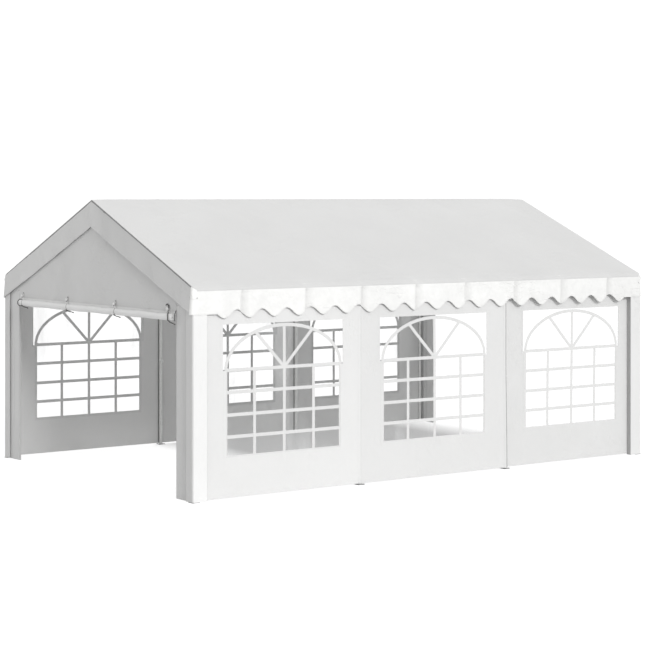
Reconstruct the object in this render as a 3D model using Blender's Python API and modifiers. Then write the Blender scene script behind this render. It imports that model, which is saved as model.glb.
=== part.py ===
# Marquee tent, about 4 by 6 m: a white steel tube frame of four portals, a roof cover with
# scalloped valances, six side walls with window films, and two end walls with rolled-up doors.
# Metres, +Z up. +X is across the tent, +Y along its ridge. The origin is on the ground in the
# middle of the plan. "front" is the -Y end, "right" is the +X side.
import math

import bmesh
import bpy
from mathutils import Matrix, Vector

# Driving dimensions of the frame
POST_X = 2.0            # centre line of the posts and the eave tubes
END_POST_Y = 3.02       # centre line of the corner posts
MID_POST_Y = 1.0        # centre line of the two posts between them
TUBE_R = 0.019          # 38 mm tube
STUB_R = 0.0185         # stubs of the fittings that the tubes push onto
FITTING_LEG = 0.12      # reach of a fitting along a post or a rafter
FITTING_ARM = 0.10      # reach of a fitting along a ridge or eave tube
TUBE_SIDES = 16
PLATE_SIZE = 0.085
PLATE_T = 0.003
PEG_HOLE_R = 0.005
PEG_HOLE_OFFSET = 0.030

# Driving dimensions of the cover
RIDGE_Z = 2.955         # outer face of the cover at the ridge
ROOF_FALL = 0.4214      # fall of the roof for each metre across
VALANCE_X = 2.047       # outer face of the valance
KNEE_R = 0.045          # outer radius where the cover turns down over the eave
KNEE_STEPS = 6
FABRIC_T = 0.003
SEAT = 0.0003           # gap that is left between touching pieces
RAKE_DROP = 0.285       # height of the flap along the gable, at the ridge
RAKE_HEM_FALL = 0.410   # fall of that flap's lower edge for each metre across
RAKE_FLARE = 0.028      # how far that flap hangs outward at its lower edge
CORNER_HEM_Z = 1.833    # lower edge of the cover at the corners

# Scallops of the valance
SCALLOP_PITCH = 0.30
SCALLOP_COUNT = 18      # notches along one side
SCALLOP_DEPTH = 0.081
SCALLOP_STEPS = 8

# Driving dimensions of the walls
WALL_BOTTOM_Z = 0.014
WALL_TOP_Z = 2.075
STRIP_BOTTOM_Z = 0.004
SLEEVE_INNER_Y = 2.892  # inner edge of the corner sleeve on the long side
SLEEVE_INNER_X = 1.91   # inner edge of the corner sleeve on the end of the tent
SLEEVE_PROUD = 0.018    # how far the sleeve stands out from the end wall
SLEEVE_CORNER_R = 0.040
CORNER_STEPS = 6        # the sleeve turns round the post in this many steps
DOOR_HALF_WIDTH = 1.70
STRIP_TOP_Z = 1.905     # seam between the side strips and the gable panel
DOOR_HEAD_Z = 1.797     # lower edge of the gable panel, and the axis of the rolled door
ROLL_R = 0.037
TIE_R = 0.0385
TIE_WIDTH = 0.025
TIE_PLACES = (-1.60, -0.55, 0.49, 1.56)

# One side panel hangs on the inner side of its posts
INNER_PANEL = "side_wall_back_right"
INNER_PANEL_LAP = 0.02      # how far it runs on behind the panel beside it
INNER_PANEL_WINDOW_Y = 2.013
INNER_PANEL_LIP_X = 2.007   # the sleeve beside it folds back as far as this

# Windows
WINDOW_CENTRES_Y = (-1.968, -0.018, 1.972)
WINDOW_TOP_Z = 1.725
WINDOW_STEP_Z = 1.27    # the opening is wider above this height
WINDOW_BOTTOM_Z = 0.412
WINDOW_HALF_TOP = 0.733
WINDOW_HALF_LOW = 0.70
FILM_T = 0.001
FILM_LAP = 0.015

# Values worked out from the driving dimensions
ROOF_ANGLE = math.atan(ROOF_FALL)
RAFTER_OFFSET = (FABRIC_T + SEAT + TUBE_R) / math.cos(ROOF_ANGLE)
RIDGE_TUBE_Z = RIDGE_Z - RAFTER_OFFSET
EAVE_TUBE_Z = RIDGE_TUBE_Z - ROOF_FALL * POST_X
WALL_IN_X = POST_X + TUBE_R + SEAT
WALL_OUT_X = WALL_IN_X + FABRIC_T
INNER_PANEL_X = POST_X - TUBE_R - SEAT - FABRIC_T
SLEEVE_OUT_X = VALANCE_X - FABRIC_T - SEAT
END_IN_Y = END_POST_Y + TUBE_R + SEAT
END_OUT_Y = END_IN_Y + FABRIC_T
WALL_END_Y = END_IN_Y - 2 * SEAT
SLEEVE_OUT_Y = END_OUT_Y + SLEEVE_PROUD
RAKE_IN_Y = END_OUT_Y + 0.001
COVER_END_Y = RAKE_IN_Y - SEAT
FLARE_RATE = RAKE_FLARE / RAKE_DROP
KNEE_X = VALANCE_X - KNEE_R
KNEE_Z = RIDGE_Z - ROOF_FALL * KNEE_X - KNEE_R / math.cos(ROOF_ANGLE)
ROLL_Y = END_OUT_Y + SEAT + TIE_R

# Axes of a sheet that stands across the tent, and of one that stands along it
ACROSS = Matrix(((1, 0, 0), (0, 0, -1), (0, 1, 0))).to_4x4()
ALONG = Matrix(((0, 0, 1), (1, 0, 0), (0, 1, 0))).to_4x4()

SIDES = (("left", -1), ("right", 1))
ENDS = (("front", -1), ("back", 1))
POST_ROWS = (("front", -END_POST_Y), ("mid_front", -MID_POST_Y),
             ("mid_back", MID_POST_Y), ("back", END_POST_Y))
BAYS = (("front", -END_POST_Y, -MID_POST_Y), ("middle", -MID_POST_Y, MID_POST_Y),
        ("back", MID_POST_Y, END_POST_Y))


def clear_scene():
    for old in list(bpy.data.objects):
        bpy.data.objects.remove(old, do_unlink=True)


def new_collection(name):
    collection = bpy.data.collections.new(name)
    bpy.context.scene.collection.children.link(collection)
    return collection


def make_material(name, colour, roughness, metallic=0.0, alpha=1.0):
    material = bpy.data.materials.new(name)
    material.use_nodes = True
    shader = material.node_tree.nodes["Principled BSDF"]
    shader.inputs["Base Color"].default_value = (*colour, 1.0)
    shader.inputs["Roughness"].default_value = roughness
    shader.inputs["Metallic"].default_value = metallic
    shader.inputs["Alpha"].default_value = alpha
    return material


def add_part(name, mesh, material, matrix=None, smooth=False):
    mesh.name = name
    mesh.materials.clear()
    mesh.materials.append(material)
    if smooth:
        mesh.shade_smooth()
        mesh.set_sharp_from_angle(angle=math.radians(35))
    part = bpy.data.objects.new(name, mesh)
    if matrix is not None:
        part.matrix_world = matrix
    PARTS.objects.link(part)
    return part


def mesh_of(bm, name):
    mesh = bpy.data.meshes.new(name)
    bm.to_mesh(mesh)
    bm.free()
    return mesh


def evaluated_mesh(source):
    """The object's shape with its modifiers applied, as a welded mesh."""
    bpy.context.view_layer.update()
    depsgraph = bpy.context.evaluated_depsgraph_get()
    mesh = bpy.data.meshes.new_from_object(source.evaluated_get(depsgraph))
    bm = bmesh.new()
    bm.from_mesh(mesh)
    bmesh.ops.remove_doubles(bm, verts=bm.verts, dist=0.00002)
    bmesh.ops.recalc_face_normals(bm, faces=bm.faces)
    bm.to_mesh(mesh)
    bm.free()
    return mesh


def frame_matrix(start, direction):
    """Places a shape that is made along +Z so that it starts at a point and runs along a line."""
    turn = Vector(direction).to_track_quat("Z", "Y").to_matrix().to_4x4()
    return Matrix.Translation(Vector(start)) @ turn


def tube_mesh(name, length, radius):
    bm = bmesh.new()
    bmesh.ops.create_cone(bm, cap_ends=True, segments=TUBE_SIDES, radius1=radius,
                          radius2=radius, depth=length,
                          matrix=Matrix.Translation((0, 0, length / 2)))
    return mesh_of(bm, name)


def placed_tube(start, direction, length, radius):
    mesh = tube_mesh("stub", length, radius)
    mesh.transform(frame_matrix(start, direction))
    return mesh


def ball_mesh(centre, radius):
    bm = bmesh.new()
    bmesh.ops.create_uvsphere(bm, u_segments=TUBE_SIDES, v_segments=8, radius=radius,
                              matrix=Matrix.Translation(Vector(centre)))
    return mesh_of(bm, "ball")


def box_mesh(low, high):
    bm = bmesh.new()
    size = [b - a for a, b in zip(low, high)]
    middle = [(a + b) / 2 for a, b in zip(low, high)]
    matrix = Matrix.Translation(middle) @ Matrix.Diagonal((*size, 1.0))
    bmesh.ops.create_cube(bm, size=1.0, matrix=matrix)
    return mesh_of(bm, "box")


def guide_object(name, mesh):
    guide = bpy.data.objects.new(name, mesh)
    guide.hide_render = True
    guide.display_type = "WIRE"
    GUIDES.objects.link(guide)
    return guide


def fused_mesh(meshes, cuts=()):
    """One closed body from overlapping solids, less the cutters."""
    base = guide_object("base", meshes[0])
    helpers = []
    for operation, group in (("UNION", meshes[1:]), ("DIFFERENCE", cuts)):
        for mesh in group:
            helper = guide_object("helper", mesh)
            helpers.append(helper)
            modifier = base.modifiers.new(operation.lower(), "BOOLEAN")
            modifier.operation = operation
            modifier.solver = "EXACT"
            modifier.object = helper
    result = evaluated_mesh(base)
    for helper in helpers:
        bpy.data.objects.remove(helper, do_unlink=True)
    bpy.data.objects.remove(base, do_unlink=True)
    return result


def sheet_mesh(name, loops, thickness):
    """A flat sheet in its own XY plane from an outline, with any openings as more loops."""
    curve = bpy.data.curves.new(name, "CURVE")
    curve.dimensions = "2D"
    curve.fill_mode = "BOTH"
    curve.extrude = thickness / 2
    for loop in loops:
        spline = curve.splines.new("POLY")
        spline.points.add(len(loop) - 1)
        for point, (u, v) in zip(spline.points, loop):
            point.co = (u, v, 0.0, 1.0)
        spline.use_cyclic_u = True
    outline = guide_object(name + "_outline", curve)
    mesh = evaluated_mesh(outline)
    bpy.data.objects.remove(outline, do_unlink=True)
    return mesh


def roof_z(x):
    """Height of the cover's outer face, round the knee at the eave as well."""
    x = abs(x)
    knee_start = KNEE_X + KNEE_R * math.sin(ROOF_ANGLE)
    if x <= knee_start:
        return RIDGE_Z - ROOF_FALL * x
    reach = min(x - KNEE_X, KNEE_R)
    return KNEE_Z + math.sqrt(KNEE_R ** 2 - reach ** 2)


def roof_profile(thickness):
    """Points (x, z) of the cover from the ridge to the end of the knee, offset inward."""
    radius = KNEE_R - thickness
    points = [(SEAT / 2, RIDGE_Z - thickness / math.cos(ROOF_ANGLE) - ROOF_FALL * SEAT / 2)]
    for step in range(KNEE_STEPS + 1):
        angle = ROOF_ANGLE + (math.pi / 2 - ROOF_ANGLE) * step / KNEE_STEPS
        points.append((KNEE_X + radius * math.sin(angle), KNEE_Z + radius * math.cos(angle)))
    return points


def add_posts(steel):
    rafter_up = Vector((-math.cos(ROOF_ANGLE), 0, math.sin(ROOF_ANGLE)))
    top = Vector((0, 0, EAVE_TUBE_Z))
    half = PLATE_SIZE / 2
    for side, sx in SIDES:
        for row, y in POST_ROWS:
            toward_roof = Vector((rafter_up.x * sx, 0, rafter_up.z))
            neck = EAVE_TUBE_Z - FITTING_LEG
            arms = [toward for toward in (-1, 1) if abs(y + toward) < END_POST_Y]
            start = min(0, min(arms)) * FITTING_ARM
            end = max(0, max(arms)) * FITTING_ARM
            solids = [
                placed_tube((0, 0, PLATE_T / 2), (0, 0, 1), neck - PLATE_T / 2, TUBE_R),
                box_mesh((-half, -half, 0), (half, half, PLATE_T)),
                placed_tube((0, 0, neck - 0.02), (0, 0, 1), FITTING_LEG + 0.02,
                            STUB_R - 0.0003),
                placed_tube(top + Vector((0, start, 0)), (0, 1, 0), end - start, STUB_R),
                placed_tube(top, toward_roof, FITTING_LEG, STUB_R - 0.0006),
                ball_mesh(top, STUB_R + 0.0003),
            ]
            holes = [
                placed_tube((turn * PEG_HOLE_OFFSET, turn * PEG_HOLE_OFFSET, -0.01),
                            (0, 0, 1), 0.02, PEG_HOLE_R)
                for turn in (-1, 1)
            ]
            add_part(f"post_{row}_{side}", fused_mesh(solids, holes), steel,
                     Matrix.Translation((sx * POST_X, y, 0)), smooth=True)


def add_rafters(steel):
    span = math.hypot(POST_X, POST_X * ROOF_FALL)
    length = span - 2 * (FITTING_LEG + SEAT)
    for side, sx in SIDES:
        direction = Vector((sx * math.cos(ROOF_ANGLE), 0, -math.sin(ROOF_ANGLE)))
        for row, y in POST_ROWS:
            start = Vector((0, y, RIDGE_TUBE_Z)) + direction * (FITTING_LEG + SEAT)
            add_part(f"rafter_{row}_{side}", tube_mesh("rafter", length, TUBE_R), steel,
                     frame_matrix(start, direction), smooth=True)


def add_eave_tubes(steel):
    for side, sx in SIDES:
        for bay, y0, y1 in BAYS:
            length = y1 - y0 - 2 * (FITTING_ARM + SEAT)
            start = Vector((sx * POST_X, y0 + FITTING_ARM + SEAT, EAVE_TUBE_Z))
            add_part(f"eave_tube_{bay}_{side}", tube_mesh("eave", length, TUBE_R), steel,
                     frame_matrix(start, (0, 1, 0)), smooth=True)


def ridge_fitting(y):
    """Hub of a ridge fitting at y, with its two stubs for the rafters."""
    hub = Vector((0, y, 0))
    solids = [ball_mesh(hub, STUB_R + 0.0003)]
    for sx in (-1, 1):
        direction = (sx * math.cos(ROOF_ANGLE), 0, -math.sin(ROOF_ANGLE))
        solids.append(placed_tube(hub, direction, FITTING_LEG, STUB_R - 0.0002 * (2 + sx)))
    return solids


def add_ridge_tubes(steel):
    """Ridge tubes. Each carries the fittings at its outer ends, the middle one both of its own."""
    for bay, y0, y1 in BAYS:
        middle = (y0 + y1) / 2
        low = y0
        high = y1
        hubs = [y0, y1]
        if bay == "front":
            high = y1 - FITTING_ARM - SEAT
            hubs = [y0]
        if bay == "back":
            low = y0 + FITTING_ARM + SEAT
            hubs = [y1]
        if bay == "middle":
            low = y0 - FITTING_ARM
            high = y1 + FITTING_ARM
        solids = [placed_tube((0, low - middle, 0), (0, 1, 0), high - low, TUBE_R)]
        for y in hubs:
            solids += ridge_fitting(y - middle)
        add_part(f"ridge_tube_{bay}", fused_mesh(solids), steel,
                 Matrix.Translation((0, middle, RIDGE_TUBE_Z)), smooth=True)


def add_roof(fabric):
    outer = roof_profile(0.0)
    inner = roof_profile(FABRIC_T)
    for side, sx in SIDES:
        loop = [(sx * x, z) for x, z in outer + inner[::-1]]
        add_part(f"roof_slope_{side}", sheet_mesh("roof", [loop], 2 * COVER_END_Y), fabric,
                 ACROSS)


def valance_outline():
    """Outline (y, z) of a valance: slanted ends, level hem at the corners, scallops between."""
    top = KNEE_Z - SEAT
    hem = CORNER_HEM_Z
    corner_y = COVER_END_Y + FLARE_RATE * (KNEE_Z - hem)
    wave_end = (SCALLOP_COUNT + 0.5) * SCALLOP_PITCH / 2
    outline = [(-COVER_END_Y, top), (COVER_END_Y, top), (corner_y, hem)]
    steps = int((SCALLOP_COUNT + 0.5) * SCALLOP_STEPS)
    for step in range(steps + 1):
        y = wave_end - 2 * wave_end * step / steps
        notch = math.cos(2 * math.pi * (y - SCALLOP_PITCH / 2) / SCALLOP_PITCH)
        outline.append((y, hem + SCALLOP_DEPTH / 2 * notch))
    outline.append((-corner_y, hem))
    return outline


def add_valances(fabric):
    for side, sx in SIDES:
        place = Matrix.Translation((sx * (VALANCE_X - FABRIC_T / 2), 0, 0)) @ ALONG
        add_part(f"valance_{side}", sheet_mesh("valance", [valance_outline()], FABRIC_T),
                 fabric, place)


def add_rake_flaps(fabric):
    top = [(x, z) for x, z in roof_profile(0.0)[1:]]
    meet_x = (RIDGE_Z - RAKE_DROP - CORNER_HEM_Z) / RAKE_HEM_FALL
    right = [(0, RIDGE_Z)] + top + [(VALANCE_X, CORNER_HEM_Z), (meet_x, CORNER_HEM_Z)]
    left = [(-x, z) for x, z in right[:0:-1]]
    loop = right + [(0, RIDGE_Z - RAKE_DROP)] + left
    for end, sy in ENDS:
        mesh = sheet_mesh("rake", [loop], FABRIC_T)
        mesh.transform(ACROSS)
        for vertex in mesh.vertices:
            hang = max(0.0, roof_z(vertex.co.x) - vertex.co.z)
            vertex.co.y += sy * FLARE_RATE * hang
        place = Matrix.Translation((0, sy * (RAKE_IN_Y + FABRIC_T / 2), 0))
        add_part(f"rake_flap_{end}", mesh, fabric, place)


def window_opening(centre, grow=0.0):
    """Opening of one window, wider round the arch than round the panes."""
    low = WINDOW_HALF_LOW + grow
    wide = WINDOW_HALF_TOP + grow
    step = WINDOW_STEP_Z - grow
    return [(centre - low, WINDOW_BOTTOM_Z - grow), (centre + low, WINDOW_BOTTOM_Z - grow),
            (centre + low, step), (centre + wide, step),
            (centre + wide, WINDOW_TOP_Z + grow), (centre - wide, WINDOW_TOP_Z + grow),
            (centre - wide, step), (centre - low, step)]


def add_side_walls(fabric, film):
    joint = SEAT / 2
    spans = (("front", -WALL_END_Y, -MID_POST_Y - joint),
             ("middle", -MID_POST_Y + joint, MID_POST_Y - joint),
             ("back", MID_POST_Y + joint, WALL_END_Y))
    for side, sx in SIDES:
        for (bay, y0, y1), centre in zip(spans, WINDOW_CENTRES_Y):
            name = f"side_wall_{bay}_{side}"
            inner_x = WALL_IN_X
            if name == INNER_PANEL:
                inner_x = INNER_PANEL_X
                y0 -= INNER_PANEL_LAP
                centre = INNER_PANEL_WINDOW_Y
            wall = [(y0, WALL_BOTTOM_Z), (y1, WALL_BOTTOM_Z), (y1, WALL_TOP_Z),
                    (y0, WALL_TOP_Z)]
            place = Matrix.Translation((sx * (inner_x + FABRIC_T / 2), 0, 0)) @ ALONG
            add_part(name, sheet_mesh("wall", [wall, window_opening(centre)], FABRIC_T), fabric,
                     place)
            place = Matrix.Translation((sx * (inner_x - SEAT - FILM_T / 2), 0, 0)) @ ALONG
            add_part(f"window_film_{bay}_{side}",
                     sheet_mesh("film", [window_opening(centre, FILM_LAP)], FILM_T), film,
                     place)


def corner_arc(radius):
    """Points (x, y) of the sleeve's corner, from the end of the tent to its side."""
    centre_x = SLEEVE_OUT_X - SLEEVE_CORNER_R
    centre_y = SLEEVE_OUT_Y - SLEEVE_CORNER_R
    points = []
    for step in range(CORNER_STEPS + 1):
        angle = math.pi / 2 * step / CORNER_STEPS
        points.append((centre_x + radius * math.sin(angle), centre_y + radius * math.cos(angle)))
    return points


def strip_outline(lip_x):
    """Plan of one end strip: a strip beside the door, and a sleeve that boxes in the post."""
    inner_x = SLEEVE_INNER_X + FABRIC_T
    inner_y = SLEEVE_INNER_Y + FABRIC_T
    outline = [(DOOR_HALF_WIDTH, END_IN_Y), (inner_x, END_IN_Y),
               (inner_x, SLEEVE_OUT_Y - FABRIC_T)]
    outline += corner_arc(SLEEVE_CORNER_R - FABRIC_T)
    outline += [(SLEEVE_OUT_X - FABRIC_T, inner_y), (lip_x, inner_y), (lip_x, SLEEVE_INNER_Y),
                (SLEEVE_OUT_X, SLEEVE_INNER_Y)]
    outline += corner_arc(SLEEVE_CORNER_R)[::-1]
    return outline + [(SLEEVE_INNER_X, SLEEVE_OUT_Y), (SLEEVE_INNER_X, END_OUT_Y),
                      (DOOR_HALF_WIDTH, END_OUT_Y)]


def add_end_walls(fabric):
    under = SEAT + FABRIC_T / math.cos(ROOF_ANGLE) + SEAT
    eave_z = RIDGE_Z - under - ROOF_FALL * WALL_OUT_X
    right = [(0, RIDGE_Z - under), (WALL_OUT_X, eave_z), (WALL_OUT_X, STRIP_TOP_Z),
             (DOOR_HALF_WIDTH, STRIP_TOP_Z), (DOOR_HALF_WIDTH, DOOR_HEAD_Z)]
    gable = right + [(-x, z) for x, z in right[:0:-1]]
    height = STRIP_TOP_Z - SEAT - STRIP_BOTTOM_Z
    for end, sy in ENDS:
        place = Matrix.Translation((0, sy * (END_IN_Y + FABRIC_T / 2), 0)) @ ACROSS
        add_part(f"gable_panel_{end}", sheet_mesh("gable", [gable], FABRIC_T), fabric, place)
        for side, sx in SIDES:
            lip_x = WALL_OUT_X + SEAT
            if f"side_wall_{end}_{side}" == INNER_PANEL:
                lip_x = INNER_PANEL_LIP_X
            loop = [(sx * x, sy * y) for x, y in strip_outline(lip_x)]
            place = Matrix.Translation((0, 0, STRIP_BOTTOM_Z + height / 2))
            add_part(f"end_strip_{end}_{side}", sheet_mesh("strip", [loop], height), fabric,
                     place)


def roll_profile():
    """Radius along the rolled door, with a proud band where each tie goes round it."""
    profile = [(0.0, DOOR_HALF_WIDTH), (ROLL_R, DOOR_HALF_WIDTH)]
    for place in reversed(TIE_PLACES):
        for offset, radius in ((0.5, ROLL_R), (0.5, TIE_R), (-0.5, TIE_R), (-0.5, ROLL_R)):
            profile.append((radius, place + offset * TIE_WIDTH))
    return profile + [(ROLL_R, -DOOR_HALF_WIDTH), (0.0, -DOOR_HALF_WIDTH)]


def add_door_rolls(fabric):
    profile = roll_profile()
    for end, sy in ENDS:
        mesh = bpy.data.meshes.new("roll_profile")
        edges = [(i, i + 1) for i in range(len(profile) - 1)]
        mesh.from_pydata([(radius, 0, along) for radius, along in profile], edges, [])
        guide = guide_object("roll_guide", mesh)
        screw = guide.modifiers.new("turn", "SCREW")
        screw.steps = TUBE_SIDES
        screw.render_steps = TUBE_SIDES
        screw.use_merge_vertices = True
        screw.merge_threshold = 0.0001
        turned = evaluated_mesh(guide)
        bpy.data.objects.remove(guide, do_unlink=True)
        place = Matrix.Translation((0, sy * ROLL_Y, DOOR_HEAD_Z)) @ frame_matrix((0, 0, 0), (1, 0, 0))
        add_part(f"door_roll_{end}", turned, fabric, place, smooth=True)


clear_scene()
PARTS = new_collection("marquee_tent")
GUIDES = new_collection("guides")

steel_white = make_material("steel_white", (0.80, 0.80, 0.79), 0.35, metallic=0.1)
cover_white = make_material("cover_white", (0.82, 0.82, 0.81), 0.55)
wall_white = make_material("wall_white", (0.84, 0.84, 0.83), 0.60)
film_clear = make_material("film_clear", (0.93, 0.94, 0.94), 0.10, alpha=0.25)

add_posts(steel_white)
add_rafters(steel_white)
add_eave_tubes(steel_white)
add_ridge_tubes(steel_white)
add_roof(cover_white)
add_valances(cover_white)
add_rake_flaps(cover_white)
add_side_walls(wall_white, film_clear)
add_end_walls(wall_white)
add_door_rolls(wall_white)
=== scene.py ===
# Marquee tent: the finished look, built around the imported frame.
# Metres, +Z up, +Y along the ridge. "front" is the -Y end and "right" is the +X side.
import math
from math import cos, pi, sin
import bpy
import bmesh
import numpy as np
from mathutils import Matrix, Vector


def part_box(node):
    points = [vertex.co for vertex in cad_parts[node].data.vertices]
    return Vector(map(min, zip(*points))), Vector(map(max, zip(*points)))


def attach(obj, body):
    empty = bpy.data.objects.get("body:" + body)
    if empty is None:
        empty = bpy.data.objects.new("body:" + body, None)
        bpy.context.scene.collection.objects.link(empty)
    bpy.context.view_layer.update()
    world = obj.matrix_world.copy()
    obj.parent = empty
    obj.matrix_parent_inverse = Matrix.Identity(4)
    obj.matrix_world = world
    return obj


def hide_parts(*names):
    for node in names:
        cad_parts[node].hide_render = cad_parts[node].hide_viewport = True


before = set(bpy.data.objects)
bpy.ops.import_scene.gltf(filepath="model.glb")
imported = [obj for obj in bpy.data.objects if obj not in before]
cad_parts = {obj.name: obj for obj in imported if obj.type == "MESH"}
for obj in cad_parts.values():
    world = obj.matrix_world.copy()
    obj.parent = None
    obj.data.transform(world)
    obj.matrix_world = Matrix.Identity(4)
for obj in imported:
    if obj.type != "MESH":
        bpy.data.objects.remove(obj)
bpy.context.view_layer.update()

# Places read from the frame
_, (_, COVER_END_Y, RIDGE_Z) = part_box("roof_slope_right")
_, (VALANCE_X, _, KNEE_Z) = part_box("valance_right")
(_, GABLE_IN_Y, DOOR_HEAD_Z), (_, GABLE_OUT_Y, _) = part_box("gable_panel_back")
(WALL_IN_X, _, WALL_LOW_Z), (WALL_OUT_X, _, WALL_TOP_Z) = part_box("side_wall_middle_right")
(INNER_WALL_X, INNER_START_Y, _), (_, WALL_END_Y, _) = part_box("side_wall_back_right")
STRIP_LOW, STRIP_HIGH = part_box("end_strip_back_left")
SLEEVE_OUT_X, SLEEVE_IN_Y, STRIP_BOTTOM_Z = -STRIP_LOW.x, STRIP_LOW.y, STRIP_LOW.z
DOOR_HALF, SLEEVE_OUT_Y, STRIP_TOP_Z = -STRIP_HIGH.x, STRIP_HIGH.y, STRIP_HIGH.z
_, ROLL_Y, ROLL_Z = sum(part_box("door_roll_back"), Vector()) / 2

# Frame
POST_X = 2
END_POST_Y = 3.02
MID_POST_Y = 1
TUBE_R = 0.019

# Cover
ROOF_FALL = 0.4214
ROOF_ANGLE = math.atan(ROOF_FALL)
KNEE_R = 0.045
KNEE_X = VALANCE_X - KNEE_R
KNEE_START_X = KNEE_X + KNEE_R * sin(ROOF_ANGLE)
KNEE_MID_Z = RIDGE_Z - ROOF_FALL * KNEE_X - KNEE_R / cos(ROOF_ANGLE)
RAKE_DROP = 0.285
RAKE_HEM_FALL = 0.41
FLARE_LEFT = 0.005 / RAKE_DROP
FLARE_RIGHT = 0.022 / RAKE_DROP
CORNER_HEM_Z = 1.833
CORNER_R_LEFT = 0.016
CORNER_R_RIGHT = 0.036
CORNER_WRAP = 0.016
CLOTH_T = 0.002
ROOF_SAG = 0.01
SCALLOP_W = 0.3
SCALLOP_DEPTH = 0.081
SCALLOP_END_Y = 2.775
TUCKS_Y = (-2.49, -1.71, -1.00, -0.28, 0.4, 1.11, 1.8, 2.52)

# Windows
WINDOWS_Y = {"front": -1.968, "middle": -0.018, "back": 1.972}
INNER_WINDOW_Y = 2.013
WINDOW_Z = 1.725
STEP_Z = 1.27
SILL_Z = 0.412
HALF_TOP = 0.733
HALF_LOW = 0.7
TOP_FAR_HALF = {"left": 0.708, "right": 0.733}
BAND = 0.026
SIDE_HEM = 0.036
FILM_T = 0.0008
FILM_LAP = 0.015
BAR_WIDTH = 0.034
BAR_T = 0.001
SPRING_Z = 1.273
ARCH_HALF = 0.7
ARCH_RISE = 0.443
SPOKE_X = 0.355
SPOKE_Z = 1.65
CROSS_BARS_Z = (0.613, 0.83, 1.053)
UPRIGHT_BARS_Y = (-0.36, 0, 0.36)

# End walls
SLEEVE_IN_X = 1.91
SLEEVE_CORNER_R = 0.024
INNER_LIP_X = 1.9824
PLEAT = 0.028
DOOR_RETURNS = {"front": 0.022, "back": 0.01}
ROLL_R = 0.0335
ROLL_LEFT_X = -1.59
ROLL_CORE_R = 0.006
ROLL_PITCH = 0.002
TIE_PLACES = (-1.6, -0.55, 0.49, 1.56)
TIE_SHIFT = 0.062
TIE_R = 0.0358
TIE_LEAN = 0.9
TIE_WIDTH = 0.024
POST_TIES_Z = (0.28, 1.02, 1.66)

SIDES = (("left", -1), ("right", 1))
ENDS = (("front", -1), ("back", 1))

# Photograph's view
CAMERA_PLACE = (17.672, -12.796, 2.954)
CAMERA_TURN = 0.9452
LENS = 105.42
SHIFT_Y = -0.1901

# Studio. Each floor, open or under the tent, has its own glow for the camera and its share of shade; the
# dimmer floor under the tent is painted shade.
AMBIENT = 0.63
BACKDROP = 1.05
FLOOR_TONE = 0.85
OPEN_FLOOR = (0.86, 0.36)
INNER_FLOOR = (0.2, 0.56)
KEY_TOWARD = (0.9, -0.07, 0.42)
KEY_STRENGTH = 0.53


def smooth(t):
    t = np.clip(t, 0, 1)
    return t * t * (3 - 2 * t)


def wave(value, length, phase=0):
    return np.sin(2 * pi * value / length + phase)


def hump(t):
    return np.exp(-t ** 2)


def circle(count):
    return [2 * pi * i / count for i in range(count)]


def axis(breaks, step):
    """Values from the first break to the last, at most step apart."""
    values = [breaks[0]]
    for low, high in zip(breaks[:-1], breaks[1:]):
        count = max(1, math.ceil((high - low) / step - 1e-6))
        values += [low + (high - low) * i / count for i in range(1, count + 1)]
    return np.array(values)


def unit(rows):
    return rows / np.linalg.norm(rows, axis=1)[:, None]


def lengths(path):
    """Length along a plane path, from its start to each of its points."""
    return np.concatenate([[0], np.cumsum(np.hypot(*np.diff(path, axis=0).T))])


# Materials


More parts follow.
